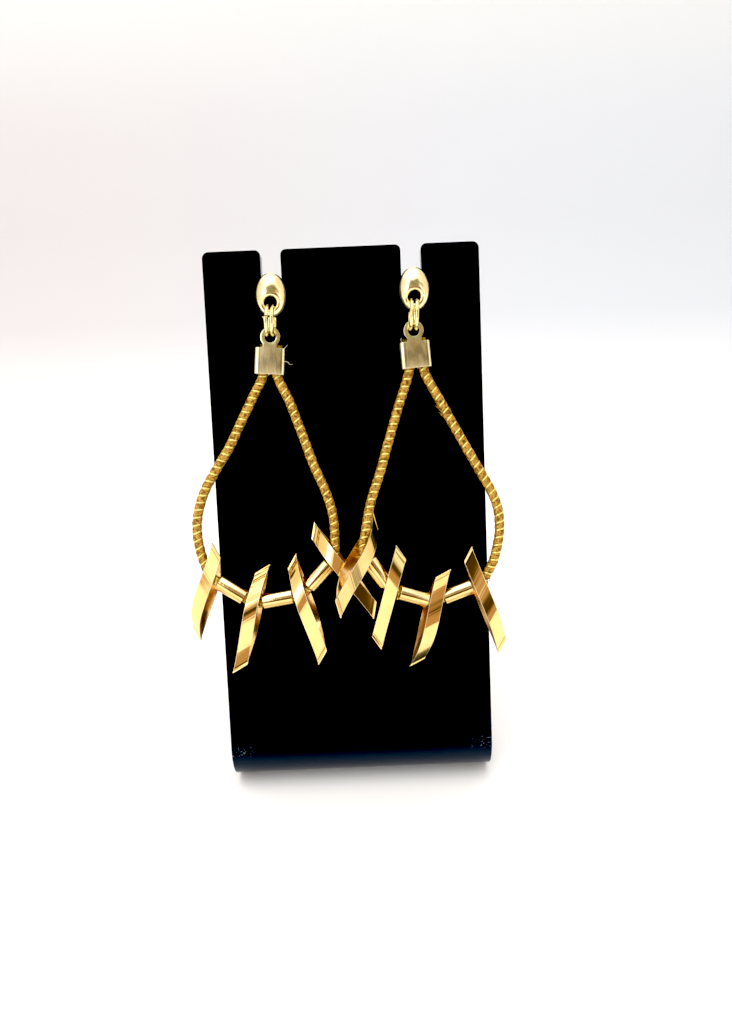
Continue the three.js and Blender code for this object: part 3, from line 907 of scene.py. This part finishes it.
def tube():
    half = TUBE_LENGTH / 2
    outline = [(TUBE_BORE, -half), (TUBE_RADIUS, -half), (TUBE_RADIUS, half), (TUBE_BORE, half)]
    bm = turned_ring(outline, 56)
    round_edges(bm, sharp_edges(bm, radians(60)), TUBE_ROUND)
    mark(bm, "along", lambda at: at.z)
    return bm


drawn = tube_gold()

for side, slides in SLIDES.items():
    threads = [Vector(row[:3]) for row in FINS[side]]
    for number, (before, after, slide) in enumerate(zip(threads, threads[1:], slides), 1):
        direction = (after - before).normalized()
        middle = before.lerp(after, 0.5) + direction * slide
        bead = tube()
        turned = direction.to_track_quat("Z", "Y").to_matrix()
        across = Vector((0, 0, 1)).cross(direction).normalized()
        mark(bead, "high", lambda at: (turned @ at).dot(across) / TUBE_RADIUS)
        put(bead, on_panel(*middle) @ turned.to_4x4())
        name, node = f"{side}_tube_turned_{number}", f"{side}_tube_bead_{number}"
        add_piece(name, bead, drawn, node)


# Cord loops. A bundle of fine dry golden-grass stems, wound tightly with one gold thread that pinches
# it at every turn. It goes down from the clamp, through the beads and back up into the clamp.
CORD_RADIUS = 0.00108
STEMS = 21
STEM_RELIEF = 0.00011
THREAD_PITCH = 0.0017
THREAD_HALF_WIDTH = 0.00019
THREAD_HALF_THICKNESS = 0.00007
THREAD_PINCH = 0.00015
THREAD_REACH = 0.00032
THREAD_FROM_END = 0.0009
AROUND = 63
ALONG_STEP = 0.00025
LUMP = 0.00004
FRAY = 0.00025
FLUFF_RADIUS = 0.00007
BROKEN_RADIUS = 0.00013
# x, y, z in the panel's axes: each strand from its clamp down to the first fin, and up from the last.
DOWN = {
    "left": [
        (-0.0172, 0.0904, 0.0022), (-0.0175, 0.0872, 0.0022), (-0.0178, 0.0840, 0.0022),
        (-0.0204, 0.0791, 0.0023), (-0.0234, 0.0735, 0.0025), (-0.0260, 0.0686, 0.0027),
        (-0.0290, 0.0641, 0.0028), (-0.0321, 0.0588, 0.0030), (-0.0338, 0.0532, 0.0031),
        (-0.0339, 0.0486, 0.0031), (-0.0329, 0.0436, 0.0030),
    ],
    "right": [
        (0.0137, 0.0903, 0.0022), (0.0139, 0.0870, 0.0022), (0.0139, 0.0840, 0.0022),
        (0.0111, 0.0756, 0.0026), (0.0088, 0.0687, 0.0031), (0.0066, 0.0618, 0.0038),
        (0.0044, 0.0557, 0.0047), (0.0030, 0.0496, 0.0055),
    ],
}
UP = {
    "left": [
        (-0.0039, 0.0470, 0.0032), (-0.0040, 0.0525, 0.0031), (-0.0052, 0.0576, 0.0030),
        (-0.0077, 0.0640, 0.0028), (-0.0100, 0.0710, 0.0025), (-0.0124, 0.0781, 0.0023),
        (-0.0148, 0.0839, 0.0022), (-0.0147, 0.0870, 0.0022), (-0.0144, 0.0902, 0.0022),
    ],
    "right": [
        (0.0304, 0.0404, 0.0031), (0.0317, 0.0442, 0.0031), (0.0324, 0.0486, 0.0031),
        (0.0321, 0.0531, 0.0031), (0.0306, 0.0573, 0.0030), (0.0282, 0.0618, 0.0029),
        (0.0247, 0.0684, 0.0027), (0.0204, 0.0767, 0.0024), (0.0169, 0.0840, 0.0022),
        (0.0167, 0.0872, 0.0022), (0.0165, 0.0905, 0.0022),
    ],
}
STRAW = (0.40, 0.195, 0.028, 1)
STRAW_PALE = (0.90, 0.56, 0.14, 1)
STRAW_DARK_AND_SHADE = (0.055, 0.024, 0.006, 1)
THREAD_GOLD = (1.0, 0.83, 0.26, 1)
THREAD_SHADE = (0.88, 0.64, 0.14, 1)
FIBRE_PALE = (0.85, 0.84, 0.80, 1)
FIBRE_GREY = (0.60, 0.58, 0.52, 1)
# Pale fibres caught on the clamps, and broken stems on the right loop's outer strand: how far each is
# from the cord's end, and its turn round the cord.
FLUFF = {
    "left": [
        [(-0.0129, 0.0892, 0.0036), (-0.0124, 0.0896, 0.0042), (-0.0119, 0.0900, 0.0044)],
        [
            (-0.0128, 0.0866, 0.0032), (-0.0121, 0.0863, 0.0040), (-0.0117, 0.0858, 0.0041),
            (-0.0110, 0.0859, 0.0044),
        ],
    ],
    "right": [[(0.0126, 0.0896, 0.0030), (0.0122, 0.0901, 0.0036), (0.0124, 0.0905, 0.0038)]],
}
BROKEN_STEMS = {
    "left": [],
    "right": [
        (0.0157, -1.5), (0.0166, -1.2), (0.0173, -1.7), (0.0180, -1.4), (0.0163, 1.8), (0.0563, 1.2),
    ],
}
# How a broken stem springs out: how far along, and how far above the bundle.
SPRING_OUT = ((0, -0.0001), (0.0003, 0.0001), (0.0006, 0.00025), (0.0009, 0.0004))


def dry_stems():
    """Shiny dry stems lying side by side: long streaks of straw tones, a silky gloss, and painted shade
    beside the thread.
    """
    finish = Finish("grass_cord", Metallic=0.55, Specular_IOR_Level=0.15)
    lie = finish.place("UV")
    streak = finish.noise(finish.stretched(lie, (34, 900, 1)), 1.0, 2.0, 0.6)
    fleck = finish.noise(finish.stretched(lie, (60, 2600, 1)), 1.0, 2.0, 0.6)
    patch = finish.noise(finish.place(), 520, 2.0)
    mottle = finish.noise(finish.place(), 1700, 2.0, 0.6)
    colour = finish.mix(streak.step(0.42, 0.60), STRAW, STRAW_PALE)
    colour = finish.mix(fleck.step(0.56, 0.74) * 0.8, colour, STRAW_DARK_AND_SHADE)
    colour = finish.mix(patch.step(0.5, 0.8) * 0.5, colour, STRAW_DARK_AND_SHADE)
    colour = finish.mix(mottle.step(0.48, 0.60) * 0.7, colour, STRAW_DARK_AND_SHADE)
    # Painted shade in the grooves where the thread pinches the stems.
    thread_shade = finish.attribute("thread_shade")
    colour = finish.mix(thread_shade.step(0.25, 0.95) * 0.8, colour, STRAW_DARK_AND_SHADE)
    bump = finish.bump(streak + fleck * 0.5, 0.5, 0.00005)
    return finish.feed(Base_Color=colour, Roughness=0.32 + fleck * 0.2, Normal=bump)


def gold_thread():
    """Metallised thread: a flat bright yarn with a fine twist."""
    finish = Finish("gold_thread", Metallic=0.85)
    lie = finish.place("UV")
    twist = finish.noise(finish.stretched(lie, (6, 2400, 1)), 1.0, 2.0)
    colour = finish.mix(twist.step(0.4, 0.7), THREAD_GOLD, THREAD_SHADE)
    bump = finish.bump(twist, 0.3, 0.00004)
    return finish.feed(Base_Color=colour, Roughness=0.22 + twist * 0.16, Normal=bump)


def route_points(side):
    threads = [Vector(row[:3]) for row in FINS[side]]
    points = [Vector(p) for p in DOWN[side]] + [threads[0]]
    for before, after in zip(threads, threads[1:]):
        points += [before.lerp(after, 0.3), before.lerp(after, 0.7), after]
    return points + [Vector(p) for p in UP[side]]


def blend(first, second, start, end, t):
    return first * ((end - t) / (end - start)) + second * ((t - start) / (end - start))


def smooth_route(points, per_span=24):
    """A centripetal Catmull-Rom curve through the points, as evenly spaced stations."""
    ends = [points[0] * 2 - points[1]] + points + [points[-1] * 2 - points[-2]]
    fine = []
    for p0, p1, p2, p3 in zip(ends, ends[1:], ends[2:], ends[3:]):
        t1 = sqrt((p1 - p0).length)
        t2 = t1 + sqrt((p2 - p1).length)
        t3 = t2 + sqrt((p3 - p2).length)
        for i in range(per_span):
            t = t1 + (t2 - t1) * i / per_span
            a1, a2, a3 = blend(p0, p1, 0, t1, t), blend(p1, p2, t1, t2, t), blend(p2, p3, t2, t3, t)
            fine.append(blend(blend(a1, a2, 0, t2, t), blend(a2, a3, t1, t3, t), t1, t2, t))
    fine.append(points[-1])
    return fine


class Route:
    """Where the cord's middle is at any length along it, and two directions across it that never flip."""

    def __init__(self, points):
        self.points = smooth_route(points)
        self.length = [0.0]
        for a, b in zip(self.points, self.points[1:]):
            self.length.append(self.length[-1] + (b - a).length)
        self.side = []
        across = Vector((0, 0, 1))
        for i in range(len(self.points)):
            tangent = self.tangent(i)
            across = (across - tangent * across.dot(tangent)).normalized()
            self.side.append(across)

    def tangent(self, i):
        low, high = max(0, i - 1), min(len(self.points) - 1, i + 1)
        return (self.points[high] - self.points[low]).normalized()

    def at(self, distance):
        low = min(max(bisect_right(self.length, distance) - 1, 0), len(self.length) - 2)
        high = low + 1
        share = (distance - self.length[low]) / (self.length[high] - self.length[low])
        share = min(1.0, max(0.0, share))
        middle = self.points[low].lerp(self.points[high], share)
        tangent = self.tangent(low).lerp(self.tangent(high), share).normalized()
        out = self.side[low].lerp(self.side[high], share)
        out = (out - tangent * out.dot(tangent)).normalized()
        return middle, tangent, out, tangent.cross(out)


def thread_turn(distance):
    """The thread's turn round the cord at a distance along it, a little uneven as it is wound by hand."""
    return 2 * pi * distance / THREAD_PITCH + 0.9 * noise.noise(Vector((distance * 160, 3.1, 0)))


def beside_thread(distance, turn):
    """1 under the thread, and down to 0 halfway between two of its turns."""
    away = (turn - thread_turn(distance)) / (2 * pi)
    away = abs(away - floor(away + 0.5)) * THREAD_PITCH
    return exp(-((away / THREAD_REACH) ** 2))


def bundle_radius(distance, turn):
    """Stems side by side give the ridges, and the thread pinches them where it passes."""
    drift = 0.8 * noise.noise(Vector((distance * 90, 0, 5.5)))
    ridge = abs(sin((turn + drift) * STEMS / 2))
    lumps = noise.noise(Vector((distance * 700, cos(turn) * 0.9, sin(turn) * 0.9)))
    pinch = THREAD_PINCH * beside_thread(distance, turn)
    return CORD_RADIUS - STEM_RELIEF + STEM_RELIEF * ridge + LUMP * lumps - pinch


def rolled_grid(bm, around, along, place):
    """A flat grid rolled into a tube: place(v, turn, share) gives each corner, and its seam is merged."""
    made = bmesh.ops.create_grid(bm, x_segments=around, y_segments=along, size=0.5, calc_uvs=True)
    for v in made["verts"]:
        v.co = place(v, (v.co.x + 0.5) * 2 * pi, v.co.y + 0.5)
    bmesh.ops.remove_doubles(bm, verts=made["verts"], dist=1e-8)


def cord_bundle(side, route):
    bm = bmesh.new()
    bm.loops.layers.uv.new("UVMap")
    thread_shade = bm.verts.layers.float.new("thread_shade")
    total = route.length[-1]

    def place(v, turn, share):
        distance = share * total
        # How much painted shade this corner gets beside the thread.
        v[thread_shade] = beside_thread(distance, turn)
        middle, tangent, out, across = route.at(distance)
        at_end = share < 0.002 or share > 0.998
        fray = FRAY * noise.noise(Vector((turn * 9, share * 3, 1))) * at_end
        radius = bundle_radius(distance, turn)
        return middle + (out * cos(turn) + across * sin(turn)) * radius + tangent * fray

    rolled_grid(bm, AROUND, round(total / ALONG_STEP), place)
    close_tube(bm)
    return bm


def cord_thread(bm, route):
    start, end = THREAD_FROM_END, route.length[-1] - THREAD_FROM_END

    def place(v, turn, share):
        distance = start + (end - start) * share
        about = thread_turn(distance)
        middle, tangent, out, across = route.at(distance)
        outward = out * cos(about) + across * sin(about)
        lift = CORD_RADIUS - THREAD_PINCH * 0.7 + THREAD_HALF_THICKNESS * cos(turn)
        return middle + outward * lift + tangent * (THREAD_HALF_WIDTH * sin(turn))

    before = set(bm.faces)
    turns = (end - start) / THREAD_PITCH
    rolled_grid(bm, 8, round(turns * 22), place)
    close_tube(bm, before, 1)


def add_fibre(bm, points, thickness, material_index):
    """A single loose fibre through the points, thinner towards its far end."""
    fine = smooth_route([Vector(p) for p in points], 8)
    before = set(bm.faces)

    def place(v, turn, share):
        at = share * (len(fine) - 1)
        low = min(int(at), len(fine) - 2)
        middle = fine[low].lerp(fine[low + 1], at - low)
        tangent = (fine[low + 1] - fine[low]).normalized()
        out = tangent.orthogonal().normalized()
        outward = out * cos(turn) + tangent.cross(out) * sin(turn)
        return middle + outward * thickness * (1 - share * 0.6)

    rolled_grid(bm, 6, len(fine) - 1, place)
    close_tube(bm, before, material_index)


def add_broken_stem(bm, route, from_end, turn):
    """A stem that has snapped and springs out of the bundle a little, its root still under the thread."""
    points = []
    total = route.length[-1]
    for step, lift in SPRING_OUT:
        distance = total - from_end - step * (1 if turn > 0 else -1)
        middle, _, out, across = route.at(distance)
        outward = out * cos(turn) + across * sin(turn)
        points.append(middle + outward * (CORD_RADIUS + lift))
    add_fibre(bm, points, BROKEN_RADIUS, 0)


stems = dry_stems()
thread = gold_thread()
# Bleached fluff that has caught on the clamps.
fluff = worn_finish(
    "pale_fibre", 3000, 1.0, (0.3, 0.7), FIBRE_PALE, FIBRE_GREY, (0.5, 0.2), Specular_IOR_Level=0.3
)
for side in FINS:
    route = Route(route_points(side))
    bundle = cord_bundle(side, route)
    cord_thread(bundle, route)
    for points in FLUFF[side]:
        add_fibre(bundle, points, FLUFF_RADIUS, 2)
    for from_end, turn in BROKEN_STEMS[side]:
        add_broken_stem(bundle, route, from_end, turn)
    put(bundle, panel)
    name, node = f"{side}_cord_bundle", f"{side}_cord_loop"
    cord = add_piece(name, bundle, stems, node, radians(60))
    cord.data.materials.append(thread)
    cord.data.materials.append(fluff)


# Table and backdrop. A white sheet lies flat under the stand and curves up behind it into a wall, whose
# lesser light is painted into its colour. They are only the setting.
SWEEP_START = 0.36
SWEEP_RADIUS = 0.12
SWEEP_SIDE = 1.6
SWEEP_FRONT = 1.2
WALL_HEIGHT = 0.9
PAPER = (0.97, 0.965, 0.965, 1)
WALL_PAINTED_WARM = (0.71, 0.685, 0.70, 1)
WALL_PAINTED_COOL = (0.71, 0.745, 0.80, 1)
WALL_PAINTED_TOP = (0.785, 0.81, 0.82, 1)


def white_paper():
    """White card with faint fibre and a faint painted glow. The wall part carries painted shade and light:
    warmer on the left, cooler on the right and lighter at the top.
    """
    # The emission is a painted glow that lifts the floor's shadows.
    finish = Finish("white_paper", Emission_Strength=0.06, Roughness=0.85, Specular_IOR_Level=0.1)
    at = finish.place()
    x, _, z = finish.axes(at)
    fibre = finish.noise(at, 900, 3.0)
    # Painted light and shade on the wall: darker than the floor, tinted warm to the left and cool to the
    # right, and lighter at the top.
    wall = finish.mix(x.step(-0.32, 0.22), WALL_PAINTED_WARM, WALL_PAINTED_COOL)
    wall = finish.mix(z.step(0.17, 0.30), wall, WALL_PAINTED_TOP)
    painted_wall_shade = z.step(0.0002, 0.014) * 0.65 + z.step(0.008, 0.05) * 0.35
    colour = finish.mix(painted_wall_shade, PAPER, wall)
    bump = finish.bump(fibre, 0.05, 0.0002)
    return finish.feed(Base_Color=colour, Normal=bump)


sweep = bmesh.new()
front = [sweep.verts.new((x, -SWEEP_FRONT, 0)) for x in (-SWEEP_SIDE, SWEEP_SIDE)]
made = bmesh.ops.extrude_edge_only(sweep, edges=[sweep.edges.new(front)])["geom"]
bmesh.ops.translate(sweep, vec=(0, SWEEP_FRONT + SWEEP_START, 0), verts=verts_of(made))
centre = (0, SWEEP_START, SWEEP_RADIUS)
curl = spin(sweep, verts_of(made) + edges_of(made), centre, (1, 0, 0), pi / 2, 24)
made = bmesh.ops.extrude_edge_only(sweep, edges=edges_of(curl["geom_last"]))["geom"]
bmesh.ops.translate(sweep, vec=(0, 0, WALL_HEIGHT), verts=verts_of(made))
sweep_mesh = bpy.data.meshes.new("paper_sweep")
sweep.to_mesh(sweep_mesh)
sweep.free()
sweep_mesh.polygons.foreach_set("use_smooth", [True] * len(sweep_mesh.polygons))
sweep_mesh.materials.append(white_paper())
paper = bpy.data.objects.new("paper_sweep", sweep_mesh)
bpy.context.scene.collection.objects.link(paper)


# Light. A white tent all round gives the light, with a soft panel overhead and another to the front
# left. Its front is open to a darker, warmer room, which the polished metal mirrors as broad bands.
TENT_WHITE = (1.0, 0.985, 0.975, 1)
TENT_TOP = (1.35, 1.33, 1.31, 1)
TENT_SIDE = (0.80, 0.69, 0.54, 1)
ROOM_BROWN = (0.46, 0.30, 0.19, 1)
ROOM_DARK = (0.07, 0.05, 0.03, 1)
ROOM_OLIVE = (0.24, 0.225, 0.12, 1)
TENT_STRENGTH = 1.2
# The tent's sides, round from its front, and the opening's width and height: where each begins, is
# full, begins to end and ends. Turns are in radians, and heights run from -1 below to 1 overhead.
SIDES_ROUND = (0.9, 1.5, 1.9, 2.4)
OPENING_ROUND = (-0.40, -0.30, 0.62, 0.80)
OPENING_HEIGHT = (-0.22, -0.16, 0.68, 0.76)
TOP_FROM = (0.80, 0.93)
# What shows through the opening, upwards from its brown lowest part: each tone and where it comes in.
ROOM_TONES = ((ROOM_DARK, 0.12, 0.18), (ROOM_BROWN, 0.28, 0.33), (ROOM_OLIVE, 0.48, 0.54))
BLACK_LEVEL = 0.019


def light_tent():
    tent = Finish("light_tent", bpy.data.worlds, "Background", Strength=TENT_STRENGTH)
    x, y, z = tent.axes(tent.place("Generated"))
    around = tent.node("ShaderNodeMath", {"operation": "ARCTAN2"}, {0: x, 1: 0 - y})
    walls = tent.mix(abs(around).between(*SIDES_ROUND) * 0.8, TENT_WHITE, TENT_SIDE)
    walls = tent.mix(z.step(*TOP_FROM), walls, TENT_TOP)
    room = ROOM_BROWN
    for tone, low, high in ROOM_TONES:
        room = tent.mix(z.step(low, high), room, tone)
    opening = around.between(*OPENING_ROUND) * z.between(*OPENING_HEIGHT)
    return tent.feed(Color=tent.mix(opening, walls, room))


def soft_light(name, at, towards, size, power, colour=(1, 1, 1)):
    data = bpy.data.lights.new(name, "AREA")
    data.shape = "RECTANGLE"
    data.size, data.size_y = size
    data.energy = power
    data.color = colour
    light = bpy.data.objects.new(name, data)
    light.location = at
    light.rotation_euler = (Vector(towards) - Vector(at)).to_track_quat("-Z", "Y").to_euler()
    bpy.context.scene.collection.objects.link(light)


soft_light("overhead", (-0.15, -0.05, 0.75), (0, 0, 0), (0.9, 0.8), 2.0)
soft_light("front_left", (-0.42, -0.5, 0.32), (0, 0, 0.05), (0.25, 0.3), 0.7, (0.95, 0.98, 1))
bpy.context.scene.world = light_tent()
view = bpy.context.scene.view_settings
view.view_transform = "Standard"
view.use_curve_mapping = True
view.curve_mapping.black_level = (BLACK_LEVEL,) * 3
